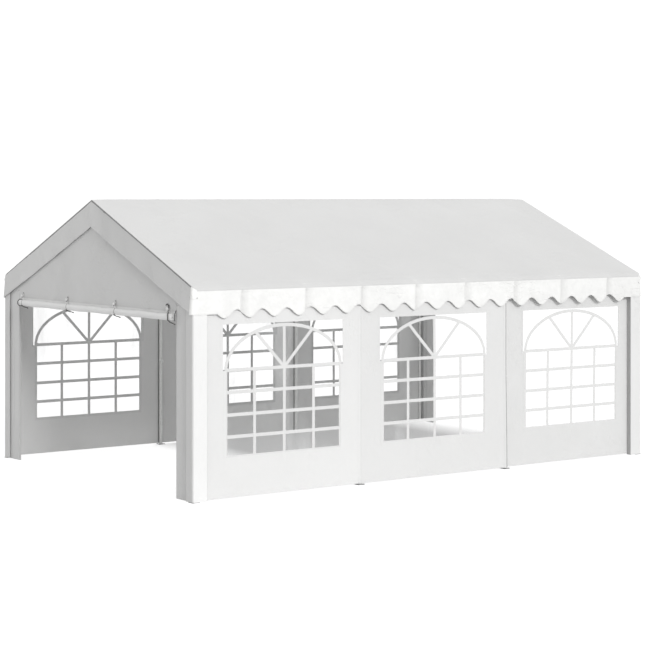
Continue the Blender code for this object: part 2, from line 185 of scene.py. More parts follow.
class Nodes:
    """Adds and links nodes of a material or of the world."""

    def __init__(self, name, kind="materials"):
        self.owner = getattr(bpy.data, kind).new(name)
        self.owner.use_nodes = True
        self.tree = self.owner.node_tree
        self.shader = self.tree.nodes.get("Principled BSDF")
        self.coords = self.tree.nodes.new("ShaderNodeTexCoord").outputs["Object"]

    def feed(self, node, inputs):
        """Give each input a value, or link it to an output."""
        for key, value in inputs.items():
            if isinstance(value, bpy.types.NodeSocket):
                self.tree.links.new(value, node.inputs[key])
            else:
                node.inputs[key].default_value = value

    def node(self, kind, result, inputs, **settings):
        made = self.tree.nodes.new("ShaderNode" + kind)
        for key, value in settings.items():
            setattr(made, key, value)
        self.feed(made, inputs)
        return made.outputs[result]

    def noise(self, scale, detail=3, stretch=(1, 1, 1), roughness=0.5, turn=(0, 0, 0)):
        place = self.node("Mapping", "Vector", {"Vector": self.coords, "Scale": stretch, "Rotation": turn})
        return self.node("TexNoise", "Fac", {"Vector": place, "Scale": scale, "Detail": detail,
            "Roughness": roughness})

    def weave(self, scale):
        """Woven tapes: waves that cross on any flat side."""
        x, y, z = (self.node("TexWave", "Fac", {"Vector": self.coords, "Scale": scale},
            wave_type="BANDS", bands_direction=way) for way in "XYZ")
        return self.math("ADD", self.math("ADD", x, y), z)

    def math(self, operation, a, b=0):
        return self.node("Math", "Value", {0: a, 1: b}, operation=operation)

    def times(self, a, b):
        return self.math("MULTIPLY", a, b)

    def span(self, value, low, high, to_low=0, to_high=1):
        return self.node("MapRange", "Result", {"Value": value, "From Min": low, "From Max": high,
            "To Min": to_low, "To Max": to_high})

    def ramp(self, value, steps):
        """Colour along value, through steps of (place, colour)."""
        made = self.tree.nodes.new("ShaderNodeValToRGB")
        points = made.color_ramp.elements
        for i in (-1, 0):
            points[i].position = steps[i][0]
            points[i].color = (*steps[i][1], 1)
        for at, colour in steps[1:-1]:
            points.new(at).color = (*colour, 1)
        self.feed(made, {"Fac": value})
        return made.outputs["Color"]

    def shade(self, value, low, high, dark, light):
        """Dark to light as value goes from low to high."""
        return self.ramp(value, ((low, dark), (high, light)))

    def stops(self, value, low, high, steps):
        """Grey gain along value, through steps of (value, gain)."""
        return self.ramp(self.span(value, low, high),
            [((at - low) / (high - low), (gain,) * 3) for at, gain in steps])

    def place(self, axis):
        return self.node("SeparateXYZ", axis, {"Vector": self.coords})

    def scaled(self, colour, gain):
        return self.node("VectorMath", "Vector", {0: colour, 1: gain}, operation="MULTIPLY")

    def bump(self, height, distance, strength=1, **before):
        return self.node("Bump", "Normal", {"Height": height, "Distance": distance,
            "Strength": strength, **before})


def grey(value):
    return (value, value, value * 0.994)


def cloth_material(name, tone, roughness, crease_stretch, crease_depth, turn=(0, 0, 0),
        spread=0.017, painted_shade_and_tone=None):
    """Coated woven cloth, mottled and finely creased. The last argument gives gains of painted shade at
    folds, edges and corners, and of blotched tone.
    """
    n = Nodes(name)
    fine = n.noise(26)
    mixed = n.math("ADD", n.times(n.noise(1.3, 4), 0.75), n.times(fine, 0.25))
    colour = n.shade(mixed, 0.36, 0.64, grey(tone * (1 - spread)), grey(tone * (1 + spread)))
    for gain in (painted_shade_and_tone(n) if painted_shade_and_tone else ()):
        colour = n.scaled(colour, gain)
    creases = n.noise(5, 4, crease_stretch, 0.62, turn)
    folded = n.math("ABSOLUTE", n.math("SUBTRACT", creases, 0.5))
    patch = n.span(n.noise(1.7, 2), 0.5, 0.66)
    ridges = n.times(n.span(folded, 0, 0.035, 1, 0), patch)
    n.feed(n.shader, {"Base Color": colour, "Specular IOR Level": 0.35,
        "Roughness": n.span(fine, 0.3, 0.7, roughness - 0.05, roughness + 0.05),
        "Normal": n.bump(n.weave(80), 0.00012, 0.6, Normal=n.bump(ridges, crease_depth))})
    return n.owner


def film_material():
    n = Nodes("clear_film")
    # Milky streaks in colour and alpha: partly the film's own haze, partly painted reflection.
    streaks = n.noise(1.9, 4, (1, 1.7, 0.3))
    haze_and_painted_sheen = n.times(n.span(streaks, 0.5, 0.74), n.span(n.noise(0.9, 2), 0.45, 0.62, 0.1, 1))
    n.feed(n.shader, {"Base Color": n.shade(streaks, 0.35, 0.7, (0.86, 0.88, 0.88), (0.95, 0.96, 0.96)),
        "Alpha": n.span(haze_and_painted_sheen, 0, 1, 0.03, 0.24), "Roughness": n.span(n.noise(30), 0.3, 0.7, 0.05, 0.12),
        "Normal": n.bump(n.noise(3, 2), 0.004)})
    return n.owner


def steel_material():
    """White powder coat, with bare zinc on the foot plates."""
    n = Nodes("white_powder_coat")
    paint = n.shade(n.noise(40, 4), 0.35, 0.65, (0.8, 0.8, 0.79), (0.88, 0.88, 0.87))
    zinc = n.shade(n.noise(60), 0.35, 0.65, (0.1, 0.1, 0.1), (0.2, 0.2, 0.21))
    above = n.span(n.place("Z"), 0.0034, 0.006)
    n.feed(n.shader, {
        "Base Color": n.node("Mix", "Result", {"Factor": above, "A": zinc, "B": paint}, data_type="RGBA"),
        "Metallic": 0.25, "Roughness": n.span(n.noise(55), 0.3, 0.7, 0.3, 0.4),
        "Normal": n.bump(n.noise(60, 2), 0.00003, 0.3)})
    return n.owner


def plain_material(name, dark, light, roughness, metallic=0, weave=0):
    n = Nodes(name)
    relief = n.bump(n.weave(weave), 0.0003, 0.8) if weave else n.bump(n.noise(300, 2), 0.0001, 0.5)
    n.feed(n.shader, {"Base Color": n.shade(n.noise(45), 0.35, 0.65, grey(dark), grey(light)),
        "Roughness": n.span(n.noise(90), 0.3, 0.7, roughness - 0.05, roughness + 0.05),
        "Metallic": metallic, "Normal": relief})
    return n.owner


def knee_painted_shade(n):
    """Painted shade: the roof cloth greys where it bends over the eave."""
    return [n.stops(n.math("ABSOLUTE", n.place("X")), 2.00, 2.05, (
        (2.019, 1), (2.0245, 0.965), (2.0338, 0.9), (2.0434, 0.87), (2.0472, 0.84)))]


def tuck_painted_shade_and_mottle(n):
    """Painted shadow beside each tuck, and painted light falloff that darkens towards the back with a paler
    front corner. The blotches between the tucks are tone.
    """
    gains = []
    for i, tuck in enumerate(TUCKS_Y):
        wide = 0.06 + 0.012 * sin(2.3 * i)
        steps = ((-0.045, 1), (-0.012, 1), (0.004, 0.84 - 0.03 * sin(i)),
            (wide * 0.5, 0.9), (wide * 1.5, 1))
        gains.append(n.stops(n.place("Y"), tuck - 0.05, tuck + 0.15,
            [(tuck + at, gain) for at, gain in steps]))
    gains.append(n.stops(n.place("Y"), -3.2, 3.2, ((-3.045, 1), (-3.02, 0.915), (0.8, 0.91), (2.8, 0.875))))
    return gains + [n.shade(n.noise(9, 3, (1, 1, 1.4)), 0.34, 0.62, grey(0.955), grey(1))]


def right_painted_shade(fall, low, high, start, depth):
    """Painted shade on the right half, between two heights below the ridge that fall along a slope."""
    def painted_shade_and_tone(n):
        height = n.math("ADD", n.place("Z"), n.times(n.place("X"), fall))
        band = n.span(height, RIDGE_Z - low, RIDGE_Z - high, start, 1)
        return [n.math("SUBTRACT", 1, n.times(band, n.span(n.place("X"), 0, 0.25, 0, depth)))]
    return painted_shade_and_tone


def end_painted_shade(face, dark):
    def painted_shade_and_tone(n):
        """Painted shade: greyer at the door edge, on the front and beside the pleat, and darkest on the lip
        against the side wall.
        """
        return [n.stops(n.math("ABSOLUTE", n.place("X")), 1.69, 2.05, (
            (1.7035, face * dark), (1.708, face), (1.78, face * 1.005), (1.86, face * 0.975),
            (1.866, face * 0.955), (1.88, face * 0.86), (1.908, face * 0.86), (1.915, face * 0.99),
            (2.032, face), (2.0405, 1))),
            n.stops(n.math("ABSOLUTE", n.place("Y")), 2.8, 3, ((2.8945, 0.6), (2.8965, 1)))]
    return painted_shade_and_tone


# Roof, valance and rake flaps are one cover cloth: the valance's paler tone and the roof's and flaps' darker
# ones are painted light and shade.
ROOF = cloth_material("roof_cloth", 0.745, 0.52, (1, 0.35, 1), 0.0016, (0, 0, 0.35), painted_shade_and_tone=knee_painted_shade)
COVER = cloth_material("valance_cloth", 0.95, 0.52, (1, 0.45, 1), 0.003, spread=0.03, painted_shade_and_tone=tuck_painted_shade_and_mottle)
# The rake flaps' band paints shade on the right flap, most just below the seam.
RAKE = cloth_material("rake_cloth", 0.725, 0.52, (1, 1, 0.45), 0.003,
    painted_shade_and_tone=right_painted_shade(ROOF_FALL, 0.1, 0.01, 0.72, 0.11))
# One wall cloth in three tones, darker from front to back: painted light falloff along the tent.
WALLS_SHADED_BY_BAY = {bay: cloth_material("wall_cloth_" + bay, tone, 0.58, (1, 1, 0.5), 0.002)
    for bay, tone in (("front", 0.747), ("middle", 0.715), ("back", 0.695))}
# One end cloth in two tones, the back one darker: painted light falloff. The face gain darkens the front
# faces against the sleeves' sides as painted shade.
ENDS_CLOTH = {place: cloth_material("end_cloth_" + place, tone, 0.55, (0.8, 1, 0.6), 0.003,
    painted_shade_and_tone=end_painted_shade(face, 0.74))
    for place, tone, face in (("front_left", 0.825, 0.872), ("front_right", 0.825, 0.848),
    ("back_left", 0.735, 0.96), ("back_right", 0.735, 0.96))}
# The gable's band paints the soft shadow under the right rake flap.
GABLE = cloth_material("gable_cloth", 0.708, 0.55, (0.8, 1, 0.6), 0.003,
    painted_shade_and_tone=right_painted_shade(RAKE_HEM_FALL, RAKE_DROP + 0.17, RAKE_DROP + 0.03, 0, 0.09))
# The rolled door is paler than the gable's cloth: painted light on the roll.
DOOR = cloth_material("door_cloth", 0.86, 0.55, (0.5, 1, 1), 0.003)
FILM = film_material()
STEEL = steel_material()
BARS = plain_material("window_bars", 0.69, 0.72, 0.5)
WEBBING = plain_material("white_webbing", 0.86, 0.94, 0.75, weave=260)
# Dark tape that paints shadow lines: in the rake seam, beside the posts and along the door ties' edges.
SHADE_TAPE = plain_material("rake_shade_tape", 0.27, 0.34, 0.75, weave=300)
CORD_AND_SHADE = plain_material("dark_elastic_and_shade", 0.045, 0.075, 0.7, weave=420)
THREAD = plain_material("seam_thread", 0.56, 0.66, 0.8)
ELASTIC = plain_material("white_elastic", 0.76, 0.86, 0.7, weave=300)
ZINC = plain_material("zinc_ring", 0.16, 0.3, 0.4, metallic=0.8)


# Mesh building


class Builder:
    """Collects points and faces of one piece."""

    def __init__(self):
        self.points = []
        self.faces = []

    def add(self, points, faces):
        start = len(self.points)
        self.points += [tuple(p) for p in points]
        self.faces += [tuple(start + i for i in face) for face in faces]

    def skin(self, rings, closed=False):
        """Skin from ring to ring of points, with end caps unless it is closed."""
        count, sides = len(rings), len(rings[0])
        faces = []
        for i in range(count if closed else count - 1):
            a, b = i * sides, (i + 1) % count * sides
            faces += [(a + j, a + (j + 1) % sides, b + (j + 1) % sides, b + j) for j in range(sides)]
        if not closed:
            faces += [range(sides)[::-1], range((count - 1) * sides, count * sides)]
        self.add([p for ring in rings for p in ring], faces)

    def strip(self, path, across, out, width, thickness):
        """Flat strap along a path. across and out are unit vectors, one in all or one a point."""
        path = np.array(path, float)
        side = np.broadcast_to(across, path.shape) * width / 2
        up = np.broadcast_to(out, path.shape) * thickness / 2
        self.skin(list(zip(path - side - up, path + side - up, path + side + up, path - side + up)))

    def tube(self, path, radius, sides=8, closed=False):
        """Round cord along a path."""
        path = [Vector(p) for p in path]
        rings = []
        normal = None
        for i, p in enumerate(path):
            before = path[i - 1] if i or closed else p
            after = path[(i + 1) % len(path)] if i < len(path) - 1 or closed else p
            along = (after - before).normalized()
            if normal is None:
                normal = along.orthogonal().normalized()
            normal = (normal - along * normal.dot(along)).normalized()
            side = along.cross(normal)
            rings.append([p + radius * (cos(a) * normal + sin(a) * side) for a in circle(sides)])
        self.skin(rings, closed)

    def ball(self, centre, radius, stretch=(1, 1, 1), steps=5):
        bm = bmesh.new()
        bmesh.ops.create_uvsphere(bm, u_segments=2 * steps, v_segments=steps, radius=radius)
        self.add([centre + v.co * Vector(stretch) for v in bm.verts],
            [[v.index for v in f.verts] for f in bm.faces])
        bm.free()

    def ring(self, centre, normal, radius, wire):
        side = Vector(normal).orthogonal().normalized()
        up = Vector(normal).cross(side)
        self.tube([centre + radius * (cos(a) * side + sin(a) * up) for a in circle(20)],
            wire, 6, closed=True)

    def piece(self, name, material, slot="wall_white"):
        mesh = bpy.data.meshes.new(name)
        mesh.from_pydata(self.points, [], self.faces)
        mesh.validate()
        bm = bmesh.new()
        bm.from_mesh(mesh)
        bmesh.ops.recalc_face_normals(bm, faces=bm.faces)
        bm.to_mesh(mesh)
        bm.free()
        mesh.shade_smooth()
        mesh.set_sharp_from_angle(angle=math.radians(40))
        return add_piece(name, mesh, material)


def add_object(name, data):
    made = bpy.data.objects.new(name, data)
    bpy.context.scene.collection.objects.link(made)
    return made


def add_piece(name, mesh, material):
    mesh.materials.append(material)
    made = add_object(name, mesh)
    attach(made, "root")
    return made


def cloth(name, us, vs, place, material, thickness=CLOTH_T, keep=None, sharp=180):
    """Cloth sheet over the grid us by vs, with its real thickness. place gives x, y and z of
    grid arrays, and keep says which cells, by their middles, are part of the cut."""
    u, v = np.meshgrid(us, vs, indexing="ij")
    points = np.stack([np.broadcast_to(c, u.shape).ravel() for c in place(u, v)], axis=1)
    corner = np.arange(u.size).reshape(u.shape)[:-1, :-1]
    if keep is not None:
        corner = corner[keep((u[:-1, :-1] + u[1:, 1:]) / 2, (v[:-1, :-1] + v[1:, 1:]) / 2)]
    faces = corner.reshape(-1, 1) + np.array([0, len(vs), len(vs) + 1, 1])
    used, faces = np.unique(faces, return_inverse=True)
    mesh = bpy.data.meshes.new(name)
    mesh.from_pydata(points[used].tolist(), [], faces.reshape(-1, 4).tolist())
    bm = bmesh.new()
    bm.from_mesh(mesh)
    for edge in bm.edges:
        edge.smooth = not (edge.is_boundary or edge.calc_face_angle(0) > math.radians(sharp))
    for face in bm.faces:
        face.smooth = True
    bm.to_mesh(mesh)
    bm.free()
    made = add_piece(name, mesh, material)
    solid = made.modifiers.new("thickness", "SOLIDIFY")
    solid.thickness = thickness
    solid.offset = 0
    return made


def mirror(sx, sy):
    """Gives points of this side and end, from their places at the back on the right."""
    return lambda x, y, z: Vector((sx * x, sy * y, z))


# Shapes of the cover


def roof_z(x):
    """Height of the cover's outer face."""
    x = abs(x)
    reach = np.clip(x - KNEE_X, 0, KNEE_R)
    knee = KNEE_MID_Z + np.sqrt(np.maximum(KNEE_R ** 2 - reach ** 2, 0))
    return np.where(x <= KNEE_START_X, RIDGE_Z - ROOF_FALL * x, knee)


def roof_profile():
    """Points (x, z) across the whole cover, from the left valance's top over the ridge."""
    low = axis([1.8, KNEE_START_X], 0.014)
    xs = np.concatenate([[0, 0.006], axis([0.014, 0.05, low[0] - 0.03], 0.045), low])
    half = list(zip(xs, roof_z(xs)))
    for angle in np.linspace(ROOF_ANGLE, pi / 2, 8)[1:]:
        half.append((KNEE_X + KNEE_R * sin(angle), KNEE_MID_Z + KNEE_R * cos(angle)))
    return np.array([(-x, z) for x, z in half[:0:-1]] + half)


def bay_span(y):
    """0 at a rafter and 1 half way between two."""
    y = abs(y)
    middle = (MID_POST_Y + END_POST_Y) / 2
    outer = 1 - abs(y - middle) / (middle - MID_POST_Y)
    return np.clip(np.where(y < MID_POST_Y, 1 - y / MID_POST_Y, outer), 0, 1)


def corner_r(x):
    """Radius of the cover's upright corners on this side."""
    return np.where(np.asarray(x) < 0, CORNER_R_LEFT, CORNER_R_RIGHT)


def corner_wrap(x, y):
    """How far the valance turns round this corner, and how far it then runs on over the gable.
    At the front right it goes all the way round."""
    full = (np.asarray(x) > 0) & (np.asarray(y) < 0)
    return np.where(full, pi / 2, pi / 4), np.where(full, CORNER_WRAP, 0)


def crease_field(a, b, seed, count, spans, length, width, height, lean):
    """Soft packing creases at set places over a sheet: a and b are the sheet's two directions."""
    random = np.random.RandomState(seed)
    total = np.zeros_like(a)
    for _ in range(count):
        da, db = a - random.uniform(*spans[0]), b - random.uniform(*spans[1])
        angle = lean + random.normal(0, 0.35)
        long, wide = random.uniform(*length), random.uniform(*width)
        tall = random.uniform(*height) * random.choice((-1, 1, 1))
        along = da * cos(angle) + db * sin(angle)
        off = db * cos(angle) - da * sin(angle) + 0.25 * wide * np.sin(along / wide * 0.8)
        total += tall * hump(off / wide) * hump((along / long) ** 2)
    return total


def roof_shape(x, y):
    """How far the cover stands above its straight place."""
    reach = abs(x)
    end_gap = COVER_END_Y - abs(y)
    sag = ROOF_SAG * smooth(bay_span(y) * 1.4) * smooth(np.clip(1 - abs(reach - 1), 0, 1) * 1.6)
    shape = crease_field(x, y, 11, 90, ((-1.9, 1.9), (-2.95, 2.95)), (0.07, 0.26),
        (0.018, 0.04), (0.001, 0.0036), 0.15)
    for row, seed in ((0.95, 3), (1.45, 4), (0.22, 6)):
        shape = shape + crease_field(reach, y, seed, 34, ((row - 0.14, row + 0.14), (-2.9, 2.9)),
            (0.05, 0.13), (0.014, 0.028), (0.001, 0.003), 0.2)
    free = smooth((1.97 - reach) / 0.12) * smooth(end_gap / 0.2)
    along = wave(y, 1.31, 0.7) + 0.6 * wave(y, 0.47, 2)
    shape = shape + 0.003 * smooth(0.5 + along * 0.6) * hump((reach - 1.945 - 0.008 * along) / 0.016)
    shape = shape + 0.0022 * smooth(0.5 - along * 0.6) * hump((reach - 1.9 + 0.01 * along) / 0.02)
    shape = shape + 0.0012 * hump((reach - 0.13) / 0.05) * wave(y, 0.37, 1.4 * np.sin(y))
    lift = (0.004 + 0.007 * smooth((y + 2.9) / 5.4)) * smooth(end_gap / 0.35 + 0.25)
    return shape * free + lift * hump(reach / 0.35) - sag


def eave_wave(y):
    """How the cover's knee wanders in and out, pinched in at the tucks."""
    gap = np.min([abs(y - tuck) for tuck in TUCKS_Y], axis=0)
    shape = 0.0016 * wave(y, 0.66, 1.1) + 0.0009 * wave(y, 0.21) - 0.0045 * hump(gap / 0.035)
    return shape * smooth((COVER_END_Y - 0.12 - abs(y)) / 0.1)


def make_roof_cover():
    profile = roof_profile()
    arc = lengths(profile)
    edge_y = COVER_END_Y + 0.007

    def place(u, v):
        x = np.interp(u, arc, profile[:, 0])
        z = np.interp(u, arc, profile[:, 1])
        reach = abs(x)
        slope = np.arcsin(np.clip((reach - KNEE_X) / KNEE_R, 0, 1))
        angle = np.maximum(slope, ROOF_ANGLE) * np.clip(reach / 0.006, 0, 1)
        hang = CLOTH_T / 2 - roof_shape(x, v) - eave_wave(v) * smooth((reach - 1.93) / 0.1)
        r = corner_r(x)
        corner_y = edge_y - r
        limit = np.sqrt(r ** 2 - np.clip(reach - (VALANCE_X - r), 0, r * 0.985) ** 2)
        beyond = np.clip((abs(v) - corner_y) / r, 0, 1)
        y = np.where(abs(v) > corner_y, np.sign(v) * (corner_y + beyond * limit), v)
        return x - np.sign(x) * np.sin(angle) * hang, y, z - np.cos(angle) * hang

    vs = axis([-edge_y, -edge_y + 0.01, -END_POST_Y + 0.03, -MID_POST_Y, MID_POST_Y,
        END_POST_Y - 0.03, edge_y - 0.01, edge_y], 0.021)
    cover = cloth("roof_cover", arc, vs, place, ROOF, sharp=50)
    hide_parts("roof_slope_left", "roof_slope_right")


def hem_z(y):
    """Lower edge of a valance: level at the corners, scallops between."""
    scallop = SCALLOP_DEPTH / 2 * wave(y, SCALLOP_W, -pi / 2)
    return CORNER_HEM_Z + np.where(abs(y) < SCALLOP_END_Y, scallop, 0)


def valance_bulge(y, drop, sx):
    """How far the valance stands proud. drop is 0 at the seam and 1 at the hem. A tuck falls
    in steeply and comes out slowly."""
    y = y * sx
    shape = np.zeros_like(y * drop)
    for i, tuck in enumerate(TUCKS_Y):
        t = y - tuck
        rise = np.exp(-np.maximum(t, 0) / 0.034) * smooth((0.16 - t) / 0.1)
        second = 0.3 * hump((t - 0.055) / 0.009) * (0.5 + 0.5 * sin(1.7 * i))
        depth = 0.0165 + 0.0035 * sin(2.9 * i + 0.6)
        shape = shape - depth * (np.where(t < 0, hump(t / 0.013), rise) + second)
    shape = shape * (0.55 + 0.45 * smooth(drop * 1.4)) * smooth(drop * 9)
    gap = np.min([abs(y - tuck) for tuck in TUCKS_Y], axis=0)
    along = 0.5 + 0.5 * wave(y, 0.31, 0.8 * np.sin(2.3 * y))
    ripple = 0.5 + 0.5 * wave(y, 0.117, 1.7 * np.sin(3.1 * y) + 2 * drop)
    shape = shape + 0.004 * smooth((gap - 0.01) / 0.16) * np.sin(pi * np.clip(drop * 0.8 + 0.12, 0, 1))
    shape = shape + 0.0022 * hump((drop - 0.06) / 0.035)
    shape = shape + 0.003 * along * drop + 0.0018 * ripple * smooth(drop * 2)
    wrinkles = crease_field(y, drop * 0.24, 23, 150, ((-2.95, 2.95), (0.01, 0.2)), (0.025, 0.085),
        (0.01, 0.02), (0.0012, 0.0034), 1.1)
    return shape + wrinkles * smooth(drop * 8)


def flap_y(hang, x):
    """Middle plane of a rake flap, hang below the roof's outer face. The left one lies close to
    the gable up to the sleeve, and the right one stands off."""
    near = FLARE_LEFT + (FLARE_RIGHT - FLARE_LEFT) * smooth((-x - 1.45) / 0.35)
    flare = near + (FLARE_RIGHT - near) * smooth((x + 0.35) / 1.1)
    return GABLE_OUT_Y + 0.001 + CLOTH_T / 2 + flare * hang + 0.009 * smooth((hang - 0.005) / 0.01)


def valance_place(u, v, sx):
    """A point of the valance, u along it and round its corners, v from seam to hem."""
    r = corner_r(sx)
    turn, run = corner_wrap(sx, u)
    start = COVER_END_Y + 0.01 - r
    reach = abs(u)
    past = np.clip(reach - start, 0, r * turn) / r
    inward = r * (1 - np.cos(past)) + np.clip(reach - start - r * turn, 0, run)
    mid_x = VALANCE_X - CLOTH_T / 2
    roof = roof_z(mid_x - inward)
    top = np.where(past > 0, roof - 0.0015, KNEE_Z)
    z = top + (hem_z(np.minimum(reach, COVER_END_Y)) - top) * v
    plain = smooth((reach - 2.7) / 0.2)
    end = flap_y(roof - z, sx * 2) - r
    y = np.minimum(reach, start) * (1 + (end / start - 1) * plain) + r * np.sin(past)
    x = mid_x - inward + eave_wave(u) * (1 - v) + valance_bulge(u, v, sx) * (1 - 0.8 * plain)
    return sx * x, np.sign(u) * y, z


def add_binding(name, place, us, material, width=0.011):
    """Tape folded round a skirt's lower edge, with its lines of thread."""
    low, high = (np.stack([np.broadcast_to(c, us.shape) for c in place(us, np.full_like(us, v))], axis=1)
        for v in (1, 0.95))
    along = unit(np.gradient(low, axis=0))
    out = unit(np.cross(along, high - low))
    across = np.cross(out, along)
    middle = low + across * (width / 2 - 0.0012)
    tape, thread = Builder(), Builder()
    tape.strip(middle, across, out, width, CLOTH_T + 0.0022)
    for side in (-1, 1):
        line = middle + across * (width / 2 - 0.002) + out * side * (CLOTH_T / 2 + 0.0012)
        thread.strip(line, across, out, 0.0012, 0.0006)
    return [tape.piece(name + "_binding", material, "cover_white"),
        thread.piece(name + "_thread", THREAD, "cover_white")]


def make_valances():
    for side, sx in SIDES:
        r = float(corner_r(sx))
        start = COVER_END_Y + 0.01 - r
        ends = [start + float(r * turn + run) for turn, run in (corner_wrap(sx, sy) for sy in (-1, 1))]

        def place(u, v):
            return valance_place(u, v, sx)

        us = axis([-ends[0], -start, -SCALLOP_END_Y, SCALLOP_END_Y, start, ends[1]], 0.0105)
        skirt = cloth(f"valance_skirt_{side}", us, np.linspace(0, 1, 20), place, COVER)
        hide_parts(f"valance_{side}")
        trim = add_binding(f"valance_{side}", place, us, COVER)


def make_rake_flaps():
    for end, sy in ENDS:
        starts, ends = [], []
        for sx in (-1, 1):
            r = float(corner_r(sx))
            turn, run = (float(t) for t in corner_wrap(sx, sy))
            starts.append(VALANCE_X - CLOTH_T / 2 - r - run)
            ends.append(starts[-1] + r * (pi / 2 - turn))

        def place(u, v):
            r = corner_r(u)
            start = np.where(u < 0, *starts)
            past = np.clip(abs(u) - start, 0, r * pi / 4) / r
            x = np.minimum(abs(u), start) + r * np.sin(past)
            top = roof_z(x) - CLOTH_T - 0.0005
            low = np.maximum(RIDGE_Z - RAKE_DROP - RAKE_HEM_FALL * x, CORNER_HEM_Z)
            z = top + (low - top) * v
            lift = 0.0028 * wave(u, 0.43, 1.2 * np.sin(1.9 * u + 0.5)) * smooth(v)
            lift = lift + smooth(v * 3) * crease_field(
                u, z, 5 + sy, 80, ((-1.9, 1.9), (1.9, 2.9)), (0.04, 0.13), (0.014, 0.028),
                (0.001, 0.0034), 1.45)
            y = flap_y(roof_z(x) - z, u) + lift * smooth((start - abs(u)) / 0.12)
            return np.sign(u) * x, sy * (y - r * (1 - np.cos(past))), z

        us = axis(sorted({-ends[0], -starts[0], -1.96, 0, 1.96, starts[1], ends[1]}), 0.014)
        vs = np.array([0, 0.015, 0.03, 0.045, 0.06, *np.linspace(0.1, 1, 15)])
        skirt = cloth(f"rake_skirt_{end}", us, vs, place, RAKE)
        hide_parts(f"rake_flap_{end}")
        trim = add_binding(f"rake_{end}", place, us, RAKE)
        trim.append(make_rake_shade_tape(end, sy, min(starts[1], 2.008)))


def make_rake_shade_tape(end, sy, reach):
    """Dark tape over the seam between the roof and the flap, painting the shadow of the groove there."""
    tape = Builder()
    drop = 0.0125
    for _, sx in SIDES:
        path = [(sx * x, sy * (float(flap_y(drop, sx * x)) + CLOTH_T / 2 + 0.001),
            float(roof_z(x)) - drop / cos(ROOF_ANGLE)) for x in axis([0.004, 1.96, reach], 0.06)]
        across = (sx * sin(ROOF_ANGLE), 0, cos(ROOF_ANGLE))
        tape.strip(path, across, (0, sy, 0), 0.017, 0.0012)
    return tape.piece(f"rake_shade_tape_{end}", SHADE_TAPE, "cover_white")


def make_corner_fittings():
    """Eyelets and elastic loops at the cover's corners, and the sewn ears above."""
    rings, loops, ears = Builder(), Builder(), Builder()
    x, z = VALANCE_X, 1.995
    for _, sx in SIDES:
        y = float(flap_y(0.1, sx * 2))
        for _, sy in ENDS:
            at = mirror(sx, sy)
            rings.ring(at(x + 0.0012, 3.016, z), (sx, 0, 0), 0.006, 0.0016)
            rings.ring(at(1.985, y + 0.0016, z), (0, sy, 0), 0.006, 0.0016)
            loops.tube([at(*p) for p in (
                (x - 0.0028, 3.016, z), (x + 0.0052, 3.022, z - 0.004), (x + 0.0032, 3.032, z - 0.006),
                (x - 0.01, y - 0.004, z - 0.007), (2.012, y + 0.004, z - 0.005),
                (1.99, y + 0.004, z - 0.003), (1.985, y - 0.004, z))], 0.0024)
            ears.strip([at(*p) for p in (
                (2.026, 3.052, 2.068), (2.029, 3.061, 2.058), (2.03, 3.066, 2.042), (2.03, 3.062, 2.026),
                (2.029, 3.054, 2.016))], (sx * 0.7, sy * 0.7, 0), (sx * 0.7, -sy * 0.7, 0), 0.009, 0.003)
    rings.piece("corner_eyelets", ZINC, "steel_white")
    loops.piece("corner_elastics", ELASTIC, "cover_white")
    ears.piece("corner_ears", COVER, "cover_white")


# Side walls and windows


class Panel:
    """Measures of one side wall. The one at the back on the right hangs inside its posts."""

    def __init__(self, bay, side, sx):
        self.bay, self.side, self.sx = bay, side, sx
        self.name = f"{bay}_{side}"
        self.far_half = TOP_FAR_HALF[side]
        self.inner_x, self.window_y = WALL_IN_X, WINDOWS_Y[bay]
        self.y0, self.y1 = {"front": (-WALL_END_Y, -MID_POST_Y), "middle": (-MID_POST_Y, MID_POST_Y),
            "back": (MID_POST_Y, WALL_END_Y)}[bay]
        self.inside = self.name == "back_right"
        if self.inside:
            self.inner_x, self.y0, self.window_y = INNER_WALL_X, INNER_START_Y, INNER_WINDOW_Y

    def bulge(self, y, z):
        """How far the wall stands proud of its flat place."""
        gap = abs(abs(y) - MID_POST_Y)
        hold = smooth((gap - 0.03) / 0.35) * smooth((END_POST_Y - abs(y) - 0.13) / 0.35)
        height = np.clip(z / WALL_TOP_Z, 0, 1)
        fold = 0.0016 * wave(y, 0.52, 1.4 * np.sin(1.3 * z + self.sx) + self.sx)
        fold = fold + 0.0009 * wave(y, 0.23, 2 * np.sin(0.9 * z) + 2 * self.sx)
        belly = 0.007 * np.sin(pi * np.clip(0.15 + 0.85 * height, 0, 1))
        if self.inside:
            belly = 0.014 * smooth((z - 0.6) / 1.1) * smooth((2.02 - z) / 0.14)
            fold = fold * 1.8
        hem = 0.0016 * hump((z - WALL_LOW_Z) / 0.05) * wave(y, 0.37, 1.3 * np.sin(2.7 * y))
        shape = hold * (belly + fold * (1 - 0.5 * height) + hem)
        if self.name == "middle_right":
            shape = shape + 0.017 * smooth((1.25 - z) / 1.2) * smooth((y - 0.9) / 0.09)
        return shape

    def face(self, x):
        """Place function of a sheet that lies at x where the wall is flat."""
        return lambda u, v: (self.sx * (x + self.bulge(u, v)), u, v)

    def opening(self, u, v, grow=0):
        """Which places lie in the window opening, made larger by grow."""
        y = u - self.window_y
        low = (abs(y) < HALF_LOW + grow) & (v > SILL_Z - grow)
        high = (y > -HALF_TOP - grow) & (y < self.far_half + grow) & (v < WINDOW_Z + grow)
        return np.where(v > STEP_Z - grow, high, low)


